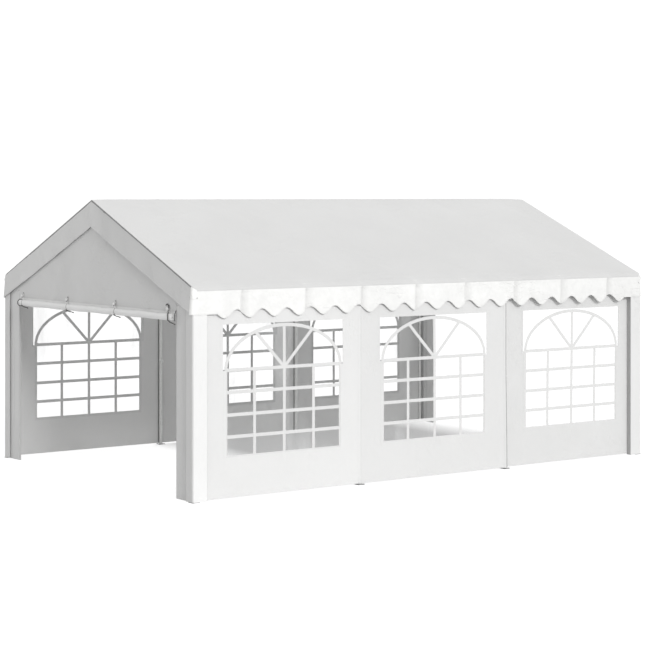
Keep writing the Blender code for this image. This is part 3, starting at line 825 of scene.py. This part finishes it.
def make_side_walls():
    for side, sx in SIDES:
        for bay in ("front", "middle", "back"):
            panel = Panel(bay, side, sx)
            c, y0, y1 = panel.window_y, panel.y0, panel.y1
            mid_x = panel.inner_x + (WALL_OUT_X - WALL_IN_X) / 2
            us = axis([y0 + 0.0004, c - HALF_TOP, c - HALF_LOW, c + HALF_LOW,
                c + panel.far_half, y1 - 0.0004], 0.026)
            vs = axis([WALL_LOW_Z, SILL_Z, STEP_Z, WINDOW_Z, WALL_TOP_Z], 0.03)
            wall = cloth(f"wall_cloth_{bay}_{side}", us, vs, panel.face(mid_x), WALLS_SHADED_BY_BAY[bay],
                keep=lambda u, v: ~panel.opening(u, v))
            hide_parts(f"side_wall_{bay}_{side}")
            trim = [make_wall_bands(panel, mid_x)]
            make_window(panel)


def make_wall_bands(panel, mid_x):
    """Doubled cloth on the outer face: hem, side edges and the welded band round the window."""
    c, y0, y1 = panel.window_y, panel.y0, panel.y1
    hem_top = WALL_LOW_Z + 0.03
    breaks = [y0 + 0.001, y0 + SIDE_HEM, y1 - SIDE_HEM, y1 - 0.001]
    for grow in (0, BAND):
        breaks += [c - HALF_TOP - grow, c - HALF_LOW - grow, c + HALF_LOW + grow, c + panel.far_half + grow]
    vs = axis([WALL_LOW_Z + 0.0005, hem_top, SILL_Z - BAND, SILL_Z,
        STEP_Z - BAND, STEP_Z, WINDOW_Z, WINDOW_Z + BAND, WALL_TOP_Z], 0.05)

    def keep(u, v):
        ring = panel.opening(u, v, BAND) & ~panel.opening(u, v)
        return ring | (v < hem_top) | (u < y0 + SIDE_HEM) | (u > y1 - SIDE_HEM)

    return cloth(f"wall_bands_{panel.name}", axis(sorted(breaks), 0.05), vs,
        panel.face(mid_x + CLOTH_T / 2 + 0.0007), WALLS_SHADED_BY_BAY[panel.bay], thickness=0.001, keep=keep)


def make_window(panel):
    c, lap = panel.window_y, FILM_LAP
    film_x = panel.inner_x - 0.0004 - FILM_T / 2
    us = axis([c - HALF_TOP - lap, c - HALF_LOW - lap, c + HALF_LOW + lap, c + HALF_TOP + lap], 0.05)
    vs = axis([SILL_Z - lap, STEP_Z - lap, WINDOW_Z + lap], 0.05)

    def keep(u, v):
        return (abs(u - c) < HALF_LOW + lap) | (v > STEP_Z - lap)

    film = cloth(f"film_sheet_{panel.name}", us, vs, panel.face(film_x), FILM,
        thickness=FILM_T, keep=keep)
    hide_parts(f"window_film_{panel.name}")
    bars = make_bars(panel, film_x + FILM_T / 2)


def make_bars(panel, face_x):
    """White bars welded to the film, each layer a little proud of the last."""
    bars = Builder()

    def bar(y, z, layer, width=BAR_WIDTH):
        place = panel.face(face_x + 0.0003 + BAR_T / 2 + layer * 0.00025)
        across = unit(np.stack([0 * y, -np.gradient(z), np.gradient(y)], axis=1))
        bars.strip(np.stack(place(panel.window_y + y, z), axis=1), across, (panel.sx, 0, 0), width, BAR_T)

    def line(y0, z0, y1, z1, layer, width=BAR_WIDTH):
        count = max(2, int(math.hypot(y1 - y0, z1 - z0) / 0.08) + 1)
        bar(np.linspace(y0, y1, count), np.linspace(z0, z1, count), layer, width)

    half = BAR_WIDTH / 2
    edge = HALF_LOW - 0.0003
    low = SILL_Z + 0.0003
    for z in CROSS_BARS_Z:
        line(-edge, z, edge, z, 0)
    for y in UPRIGHT_BARS_Y:
        line(y, low, y, SPRING_Z, 1)
    for y in (half / 2 - edge, edge - half / 2):
        line(y, low, y, STEP_Z, 2, half)
    line(-edge, SILL_Z + half / 2, edge, SILL_Z + half / 2, 2, half)
    line(-ARCH_HALF - half, SPRING_Z, ARCH_HALF + half, SPRING_Z, 3)
    angles = np.linspace(0, pi, 45)
    bar(-ARCH_HALF * np.cos(angles), SPRING_Z + (ARCH_RISE - half) * np.sin(angles), 2)
    line(0, SPRING_Z, 0, SPRING_Z + ARCH_RISE - half, 1)
    for y in (-SPOKE_X, SPOKE_X):
        line(0, SPRING_Z, y, SPOKE_Z, 0)
    return bars.piece(f"window_bars_{panel.name}", BARS)


def make_post_ties():
    """Tapes that tie the side panels to the posts, and dark tapes along the panels' edges that paint the
    shadow gaps by the posts and at the right middle panel's back edge.
    """
    tapes, edges = Builder(), Builder()
    outs = [Vector((cos(a), sin(a), 0)) for a in circle(24) + [0]]
    for _, sx in SIDES:
        for y in (-MID_POST_Y, MID_POST_Y):
            for i, z in enumerate(POST_TIES_Z):
                centre = Vector((sx * POST_X, y, z))
                tapes.strip([centre + (TUBE_R + 0.0018) * out for out in outs], (0, 0, 1), outs,
                    0.016, 0.0012)
                turn = 0.5 * sin(2.3 * i + 1.7 * y)
                inward = Vector((-sx * cos(turn), sin(turn), 0))
                side = Vector((0, 0, 1)).cross(inward)
                knot = centre + inward * (TUBE_R + 0.006)
                tapes.ball(knot, 0.0075, (1, 1, 0.8))
                for way in (-1, 1):
                    path = [knot + inward * far + side * way * off - Vector((0, 0, drop))
                        for far, off, drop in ((0, 0, 0), (0.005, 0.008, 0.004), (0.004, 0.012, 0.018),
                        (0, 0.013 + 0.002 * i, 0.036))]
                    tapes.strip(path, side, inward, 0.012, 0.001)
            # Dark strips beside each middle post paint the shadow gap there.
            path = [(sx * (WALL_IN_X - 0.0016), y - 0.0215, z)
                for z in axis([WALL_LOW_Z + 0.002, 1.9], 0.3)]
            edges.strip(path, (0, 1, 0), (sx, 0, 0), 0.013, 0.0012)
    # A narrow dark strip paints the shadow line at the right middle panel's back edge.
    zs = axis([WALL_LOW_Z + 0.002, 1.82], 0.05)
    place = Panel("middle", "right", 1).face(WALL_OUT_X + 0.0014)
    edges.strip(np.stack(place(np.full_like(zs, 0.9955), zs), axis=1), (0, 1, 0), (1, 0, 0), 0.0065, 0.001)
    tapes.piece("post_ties", WEBBING)
    edges.piece("panel_edge_shade_tapes", SHADE_TAPE)


# End walls


def gable_top(x):
    return RIDGE_Z - 0.0006 - 0.003 / cos(ROOF_ANGLE) - ROOF_FALL * abs(x)


def make_gables():
    edge = WALL_OUT_X
    for end, sy in ENDS:
        def place(u, v):
            low = np.where(abs(u) <= DOOR_HALF, DOOR_HEAD_Z, STRIP_TOP_Z + 0.0003)
            z = low + (gable_top(u) - low) * v
            hold = smooth((2.02 - abs(u)) / 0.4) * smooth((1 - v) / 0.3) * smooth(v / 0.1 + 0.3)
            pull = 0.002 * wave(u, 0.7, 1.1 * np.sin(2 * z)) + 0.0012 * wave(u + 0.6 * z, 0.33, sy)
            pull = pull + crease_field(u, z, 31 + sy, 30, ((-1.7, 1.7), (1.85, 2.7)), (0.05, 0.18),
                (0.03, 0.045), (0.001, 0.003), 0.9)
            return u, sy * ((GABLE_IN_Y + GABLE_OUT_Y) / 2 - 0.0004 + (pull - 0.003) * hold), z

        us = axis([-edge, -DOOR_HALF - 0.001, -DOOR_HALF, 0, DOOR_HALF, DOOR_HALF + 0.001, edge], 0.03)
        panel = cloth(f"gable_cloth_{end}", us, np.linspace(0, 1, 34), place, GABLE)
        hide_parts(f"gable_panel_{end}")


def arc_points(x, y, radius, start, stop, steps):
    """Points of an arc round (x, y). start and stop are in right angles."""
    return [(x + radius * cos(a), y + radius * sin(a))
        for a in np.linspace(start, stop, steps + 1) * pi / 2]


def sleeve_path(lip_x, fold_in):
    """Plan of an end strip's middle line: folded door edge, strip, pleat, sleeve round the post
    and lip on the side wall. Also the number of points up to the strip's and pleat's ends."""
    t = CLOTH_T / 2
    bend = 0.004
    door_x, strip_y = DOOR_HALF + t, GABLE_IN_Y + t + 0.0005
    out_x, out_y = SLEEVE_OUT_X - t, SLEEVE_OUT_Y - t
    fold_x, back_y = SLEEVE_IN_X + PLEAT, out_y - 0.0036
    fold, hem = (back_y - strip_y) / 2, (out_y - back_y) / 2
    corner = SLEEVE_CORNER_R - t
    points = [(door_x, y) for y in np.linspace(strip_y - fold_in, strip_y - 0.005, 4)]
    points += arc_points(door_x + bend, strip_y - bend, bend, 2, 1, 3)
    points += [(x, strip_y) for x in axis([DOOR_HALF + 0.02, fold_x - 0.004], 0.02)]
    strip_count = len(points)
    points += arc_points(fold_x, strip_y + fold, fold, -1, 1, 6)
    points += [(fold_x - 0.01, back_y)]
    points += arc_points(SLEEVE_IN_X + hem + t, back_y + hem, hem, -1, -3, 4)
    pleat_count = len(points)
    points += [(x, out_y) for x in axis([SLEEVE_IN_X + 0.014, out_x - corner - 0.006], 0.012)]
    points += arc_points(out_x - corner, out_y - corner, corner, 1, 0, 8)
    points += [(out_x, y) for y in axis([SLEEVE_IN_Y + 0.008, out_y - corner - 0.008], 0.012)[::-1]]
    points += arc_points(out_x - bend, SLEEVE_IN_Y + t + bend, bend, 0, -1, 3)
    points += [(x, SLEEVE_IN_Y + t) for x in axis([lip_x, out_x - bend - 0.003], 0.01)[::-1]]
    return np.array(points), strip_count, pleat_count


def make_end_sleeves():
    for end, sy in ENDS:
        for side, sx in SIDES:
            lip_x = INNER_LIP_X if (end, side) == ("back", "right") else WALL_OUT_X + 0.0005
            path, strip_count, pleat_count = sleeve_path(lip_x, DOOR_RETURNS[end])
            arc = lengths(path)
            strip_end, front_start = arc[strip_count - 1], arc[pleat_count - 1]
            along = unit(np.gradient(path, axis=0))

            def place(u, v):
                x, y, along_x, along_y = (np.interp(u, arc, row) for row in (*path.T, *along.T))
                on_strip = smooth((strip_end - 0.02 - u) / 0.05) * smooth((u - 0.03) / 0.03)
                out = 0.0022 * wave(u, 0.11, 0.9 * np.sin(2.2 * v)) * on_strip
                out = out - 0.004 * hump((u - 0.15) / 0.03) * (0.6 + 0.4 * np.sin(1.3 * v))
                patch = crease_field(u - front_start, v, 71 + sx + 2 * sy, 30, ((0, 0.24), (0.1, 1.8)),
                    (0.05, 0.12), (0.012, 0.02), (0.0006, 0.0018), 1.5)
                patch = patch + 0.0005 * wave(u, 0.026, 1.6 * np.sin(1.4 * v + sx)) - 0.0008
                out = out + patch * smooth((u - front_start - 0.01) / 0.02)
                return sx * (x - along_y * out), sy * (y + along_x * out), v

            vs = axis([STRIP_BOTTOM_Z, STRIP_TOP_Z - 0.0002], 0.035)
            sleeve = cloth(f"end_sleeve_{end}_{side}", arc, vs, place, ENDS_CLOTH[f"{end}_{side}"], sharp=50)
            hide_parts(f"end_strip_{end}_{side}")


def roll_spiral():
    """Section (out, up) of the rolled sheet from its core to its seam on the gable, the radius
    at each point, and the number of points in the roll."""
    turns = math.floor((ROLL_R - ROLL_CORE_R) / ROLL_PITCH) + 0.5
    done = np.linspace(0, turns, int(turns * 20))
    radii = ROLL_R - ROLL_PITCH * (turns - done)
    tail = np.linspace(0.006, 0.052, 6)
    out = radii * np.cos(2 * pi * done)
    out = np.concatenate([out, out[-1] + (-0.0378 - out[-1]) * smooth(tail / 0.03)])
    up = np.concatenate([-radii * np.sin(2 * pi * done), tail])
    return out, up, np.concatenate([radii, np.full(6, ROLL_R)]), len(done)


def make_rolled_doors():
    out, up, radii, count = roll_spiral()
    arc = lengths(np.stack([out, up], axis=1))
    for end, sy in ENDS:
        def place(u, v):
            a, b, radius = (np.interp(u, arc, row) for row in (out, up, radii))
            loose = smooth((u - arc[count - 1]) / 0.01)
            gap = np.min([abs(v - t - TIE_SHIFT) for t in TIE_PLACES], axis=0)
            angle = np.arctan2(b, a)
            dent = 0.035 * wave(v, 0.55, 2 * angle + sy) + 0.02 * wave(-v, 0.31, 3 * angle)
            dent = 1 + dent * smooth((radius - 0.022) / 0.012)
            grow = np.minimum((1 - 0.11 * hump(gap / 0.028)) * dent, 1.03)
            grow = grow + (1 - grow) * loose
            sag = 0.004 * np.sin(pi * np.clip(gap / 0.5, 0, 1)) ** 2 * (1 - loose)
            return v, sy * (ROLL_Y + a * grow), ROLL_Z + b * grow - sag

        vs = axis([ROLL_LEFT_X, *[t + TIE_SHIFT for t in TIE_PLACES], DOOR_HALF], 0.075)
        door = cloth(f"rolled_door_{end}", arc, vs, place, DOOR, thickness=0.0011)
        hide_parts(f"door_roll_{end}")
        ties = make_door_ties(end, sy)


def make_door_ties(end, sy):
    """Ties of the rolled door: a knotted tape round the roll, and a dark elastic cord with a loose end. The
    last tie's cord comes from its eyelet and runs round the roll. Dark lines along the tapes' edges, dark
    arcs by the knots and dark cords at the roll's ends paint shadow."""
    tapes, cords, rings, shade_lines = Builder(), Builder(), Builder(), Builder()
    gable = GABLE_OUT_Y + 0.0006
    at = mirror(1, sy)
    face = at(0, 1, 0)

    def hung(x, *places):
        """Points in millimetres: from x, from the gable and from the ground."""
        return [at(x + dx / 1000, gable + dy / 1000, z / 1000) for dx, dy, z in places]

    def round_roll(x, radius, start, stop, steps, lean=TIE_LEAN):
        """Points round the roll, shifted along it as they leave the gable."""
        ys = [(ROLL_Y + radius * cos(a), a) for a in np.linspace(start, stop, steps)]
        return [at(x + lean * (y - gable), y, ROLL_Z + radius * sin(a)) for y, a in ys]

    sweep = (pi + 0.25, -pi + 0.6, 29)
    outs = [at(0, cos(a), sin(a)) for a in np.linspace(*sweep)]
    under = -pi / 2 - 0.1
    for i, x in enumerate(TIE_PLACES):
        last = i == len(TIE_PLACES) - 1
        tapes.strip(round_roll(x + 0.016, TIE_R - 0.003, *sweep), (1, 0, 0), outs, TIE_WIDTH, 0.0014)
        # A dark line along the tape's edge paints its shadow on the roll.
        shade_lines.tube(round_roll(x + 0.016 + TIE_WIDTH / 2, TIE_R - 0.0022, 1.7, -1.5, 17), 0.002, 6)
        tab = hung(x, (0, 0.8, 1905), (0, 0.8, 1868), (6, 4, 1850))
        tab.append(at(x + 0.03, ROLL_Y - 0.02, ROLL_Z + 0.031))
        tapes.strip(tab, (1, 0, 0), [face, face, face, at(0, 0.6, 0.8)], TIE_WIDTH, 0.0014)
        knot, eye = hung(x, (-4, 10, 1872), (7, 2.2, 1903 - 6 * (i % 2)))
        tapes.ball(knot, 0.0145, (1.2, 0.75, 1), 6)
        rings.ring(eye, face, 0.0075, 0.0018)
        for way, drop in ((-1, 0.03), (1, 0.036)):
            loop = [knot + at(way * dx, dy, dz) for dx, dy, dz in (
                (0, 0, 0), (0.014, 0.006, 0.01), (0.024, 0.007, 0.002), (0.018, 0.006, -drop / 2),
                (0.012, 0.008, -drop))]
            tapes.strip(loop, [(0, 0, 1), *[(0.5, 0, 0.85)] * 3, (1, 0, 0)], face, 0.01, 0.0012)
        if last:
            path = hung(x, (-46, 3, 1903), (-36, 5, 1914), (-14, 7, 1917), (5, 7, 1908),
                (12, 7, 1888), (4, 7, 1864), (2, 9, 1848))
            path += round_roll(x - 0.002, ROLL_R + 0.0045, 1.9, under, 13, 1.38)
        else:
            path = round_roll(x + 0.02, ROLL_R + 0.0052, -0.9, under, 5)
            # A dark arc under the knot paints its shadow.
            cords.tube([knot + at(0.019 * cos(a) + 0.003, 0.003, 0.018 * sin(a) - 0.002)
                for a in np.linspace(0.9, -2.2, 12)], 0.0034)
        reach = 0.135 + 0.02 * sin(2.1 * i)
        droop = 0.03 if last else 0.014
        low = path[-1]
        path += [low + at(reach * t, 0.005 * smooth(t * 6), -droop * sin(1.45 * t) * smooth(t * 3)
            - 0.003 * t * sin(7 * t)) for t in np.linspace(1 / 12, 1, 12)]
        cords.tube(path, 0.0046)
        cords.ball(path[-1], 0.0064)
    # Dark cords at the roll's two ends paint the shadow between the roll and its neighbours.
    cords.tube(round_roll(ROLL_LEFT_X, ROLL_R + 0.004, 2, -1.9, 19, 0), 0.0044)
    cords.tube(hung(DOOR_HALF - 0.008, (18, 4, 1862), (14, 8, 1850), (12, 14, 1835),
        (10, 18, 1810), (12, 22, 1785), (18, 26, 1765), (22, 30, 1757)), 0.0034)
    shade_lines.piece(f"tie_shade_lines_{end}", SHADE_TAPE)
    return [tapes.piece(f"door_ties_{end}", WEBBING), cords.piece(f"tie_cords_{end}", CORD_AND_SHADE),
        rings.piece(f"tie_eyelets_{end}", ZINC, "steel_white")]


# Frame


def dress_frame():
    for name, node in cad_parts.items():
        if name.startswith(("post_", "rafter_", "eave_tube_", "ridge_tube_")):
            for slot in node.material_slots:
                slot.material = STEEL


def make_frame_details():
    """Spring buttons and weld beads on the fittings, and two pegs in each foot plate."""
    buttons, beads, pegs = Builder(), Builder(), Builder()
    for _, sx in SIDES:
        for y in (-END_POST_Y, -MID_POST_Y, MID_POST_Y, END_POST_Y):
            foot = Vector((sx * POST_X, y, 0))
            beads.tube([foot + Vector((0.0198 * cos(a), 0.0198 * sin(a), 0.0042))
                for a in circle(28)], 0.0022, 6, closed=True)
            for z in (1.952, 1.885):
                buttons.ball(foot + Vector((-sx * TUBE_R, 0, z)), 0.0042)
            for shift in (-0.03, 0.03):
                for heights, radius, sides in (((0.0034, 0.006), 0.0085, 12),
                        ((0.006, 0.0085), 0.0045, 10)):
                    pegs.tube([foot + Vector((shift, shift, z)) for z in heights], radius, sides)
    buttons.piece("spring_buttons", ZINC, "steel_white")
    beads.piece("weld_beads", STEEL, "steel_white")
    pegs.piece("ground_pegs", ZINC, "steel_white")


# Stage


def make_stage():
    n = Nodes("studio_floor")
    x, y = n.place("X"), n.place("Y")
    # Mask of the floor under the tent, where less glow and gain paint shade.
    inner = n.times(n.times(n.span(x, -2.03, -1.97), n.span(x, 1.5, 1.85, 1, 0)),
        n.times(n.span(y, -1.2, -0.5), n.span(y, 2.35, 3.12, 1, 0)))
    seen = n.node("LightPath", "Is Camera Ray", {})
    own, share = (n.span(inner, 0, 1, OPEN_FLOOR[i] - i, INNER_FLOOR[i] - i) for i in (0, 1))
    tone = n.shade(n.noise(0.4), 0.3, 0.7, (FLOOR_TONE - 0.01,) * 3, (FLOOR_TONE + 0.01,) * 3)
    tone = n.node("VectorMath", "Vector", {0: tone, "Scale": n.math("ADD", n.times(share, seen), 1)},
        operation="SCALE")
    matte = n.node("BsdfDiffuse", "BSDF", {"Color": tone})
    pale = n.node("Emission", "Emission", {"Strength": n.times(own, seen)})
    n.tree.nodes.remove(n.shader)
    n.feed(n.tree.nodes["Material Output"], {"Surface": n.node("AddShader", "Shader", {0: matte, 1: pale})})
    mesh = bpy.data.meshes.new("studio_floor")
    mesh.from_pydata([(-60, -60, -0.0002), (60, -60, -0.0002), (60, 60, -0.0002), (-60, 60, -0.0002)],
        [], [(0, 1, 2, 3)])
    mesh.materials.append(n.owner)
    floor = add_object("studio_floor", mesh)


def add_lamp(name, kind, place, toward, power, **settings):
    lamp = bpy.data.lights.new(name, kind)
    lamp.energy = power
    for key, value in settings.items():
        setattr(lamp, key, value)
    made = add_object(name, lamp)
    made.location = place
    made.rotation_euler = Vector(toward).to_track_quat("Z", "Y").to_euler()
    return made


def make_light():
    n = Nodes("studio", "worlds")
    bpy.context.scene.world = n.owner
    strength = n.span(n.node("LightPath", "Is Camera Ray", {}), 0, 1, AMBIENT, BACKDROP)
    n.feed(n.tree.nodes["Background"], {"Color": (1, 1, 1, 1), "Strength": strength})
    add_lamp("key_light", "SUN", (0, 0, 9), KEY_TOWARD, KEY_STRENGTH * pi, angle=math.radians(18))
    for name, z, way, power in (("cover_glow", 2.03, 1, 8.3), ("floor_glow", 0.01, -1, 2.6)):
        glow = add_lamp(name, "AREA", (0, 0, z), (0, 0, way), power, shape="RECTANGLE", size=3.9,
            size_y=5.9)
        glow.visible_camera = False


def make_camera():
    data = bpy.data.cameras.new("camera")
    data.lens = LENS
    data.sensor_width = 36
    data.shift_y = SHIFT_Y
    data.clip_end = 500
    camera = add_object("camera", data)
    camera.location = CAMERA_PLACE
    camera.rotation_euler = (pi / 2, 0, CAMERA_TURN)
    bpy.context.scene.camera = camera


make_camera()
make_light()
make_stage()
dress_frame()
make_frame_details()
make_roof_cover()
make_valances()
make_rake_flaps()
make_corner_fittings()
make_side_walls()
make_post_ties()
make_gables()
make_end_sleeves()
make_rolled_doors()
bpy.context.scene.view_settings.view_transform = "Standard"
